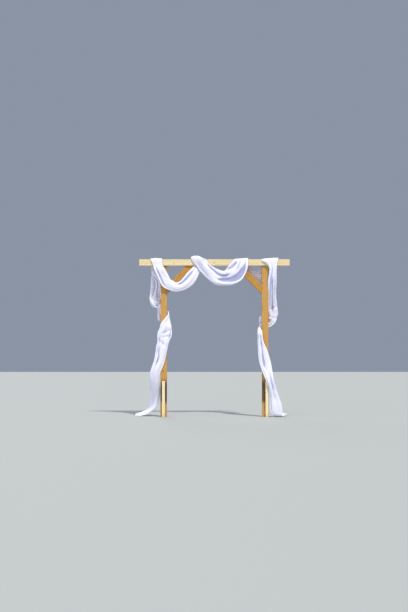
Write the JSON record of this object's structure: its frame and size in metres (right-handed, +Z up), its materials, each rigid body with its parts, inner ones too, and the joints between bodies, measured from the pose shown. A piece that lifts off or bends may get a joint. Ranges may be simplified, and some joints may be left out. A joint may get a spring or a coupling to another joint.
{
  "type": "wooden wedding arch with draped cloth",
  "caption": "Open timber arch: a beam on two posts with knee braces and ground stakes, wound with one long gathered white cloth, for a couple to stand under.",
  "frame": {"origin": "middle of the left post's foot, at ground level", "axes": "+X along the arch to the right post, +Y through the arch away from the guests, +Z up"},
  "size_m": [2.1939, 0.3618, 2.2577],
  "materials": {
    "pale_pine": "sawn and dressed pale softwood, unsealed",
    "honey_cedar": "honey brown dressed softwood, darker and damp near the ground",
    "white_cloth": "thin white woven drape, matt"
  },
  "bodies": {
    "root": {"first_swag_bottom": "white_cloth", "first_swag_drop": "white_cloth", "first_swag_rise": "white_cloth", "left_brace": "honey_cedar", "left_cloth_beam_wrap": "white_cloth", "left_cloth_hem": "white_cloth", "left_cloth_lower_hang": "white_cloth", "left_cloth_panel": "white_cloth", "left_cloth_post_back": "white_cloth", "left_cloth_post_crossing": "white_cloth", "left_cloth_post_front": "white_cloth", "left_cloth_post_side": "white_cloth", "left_cloth_pouf": "white_cloth", "left_cloth_sweep": "white_cloth", "left_post": "honey_cedar", "left_stake": "pale_pine", "middle_cloth_beam_back": "white_cloth", "middle_cloth_beam_top": "white_cloth", "middle_cloth_before_brace": "white_cloth", "middle_cloth_under_beam": "white_cloth", "right_brace": "honey_cedar", "right_cloth_back_drop": "white_cloth", "right_cloth_back_rise": "white_cloth", "right_cloth_beam_back": "white_cloth", "right_cloth_beam_over": "white_cloth", "right_cloth_beam_rise": "white_cloth", "right_cloth_beam_top": "white_cloth", "right_cloth_fall": "white_cloth", "right_cloth_hem": "white_cloth", "right_cloth_panel": "white_cloth", "right_cloth_post_back": "white_cloth", "right_cloth_post_front": "white_cloth", "right_cloth_post_side": "white_cloth", "right_cloth_pouf": "white_cloth", "right_cloth_stake_crossing": "white_cloth", "right_cloth_tuck": "white_cloth", "right_post": "honey_cedar", "right_stake": "pale_pine", "second_swag_beam_front": "white_cloth", "second_swag_bottom": "white_cloth", "second_swag_drop": "white_cloth", "second_swag_rise": "white_cloth", "top_beam": "pale_pine"}
  },
  "joints": []
}
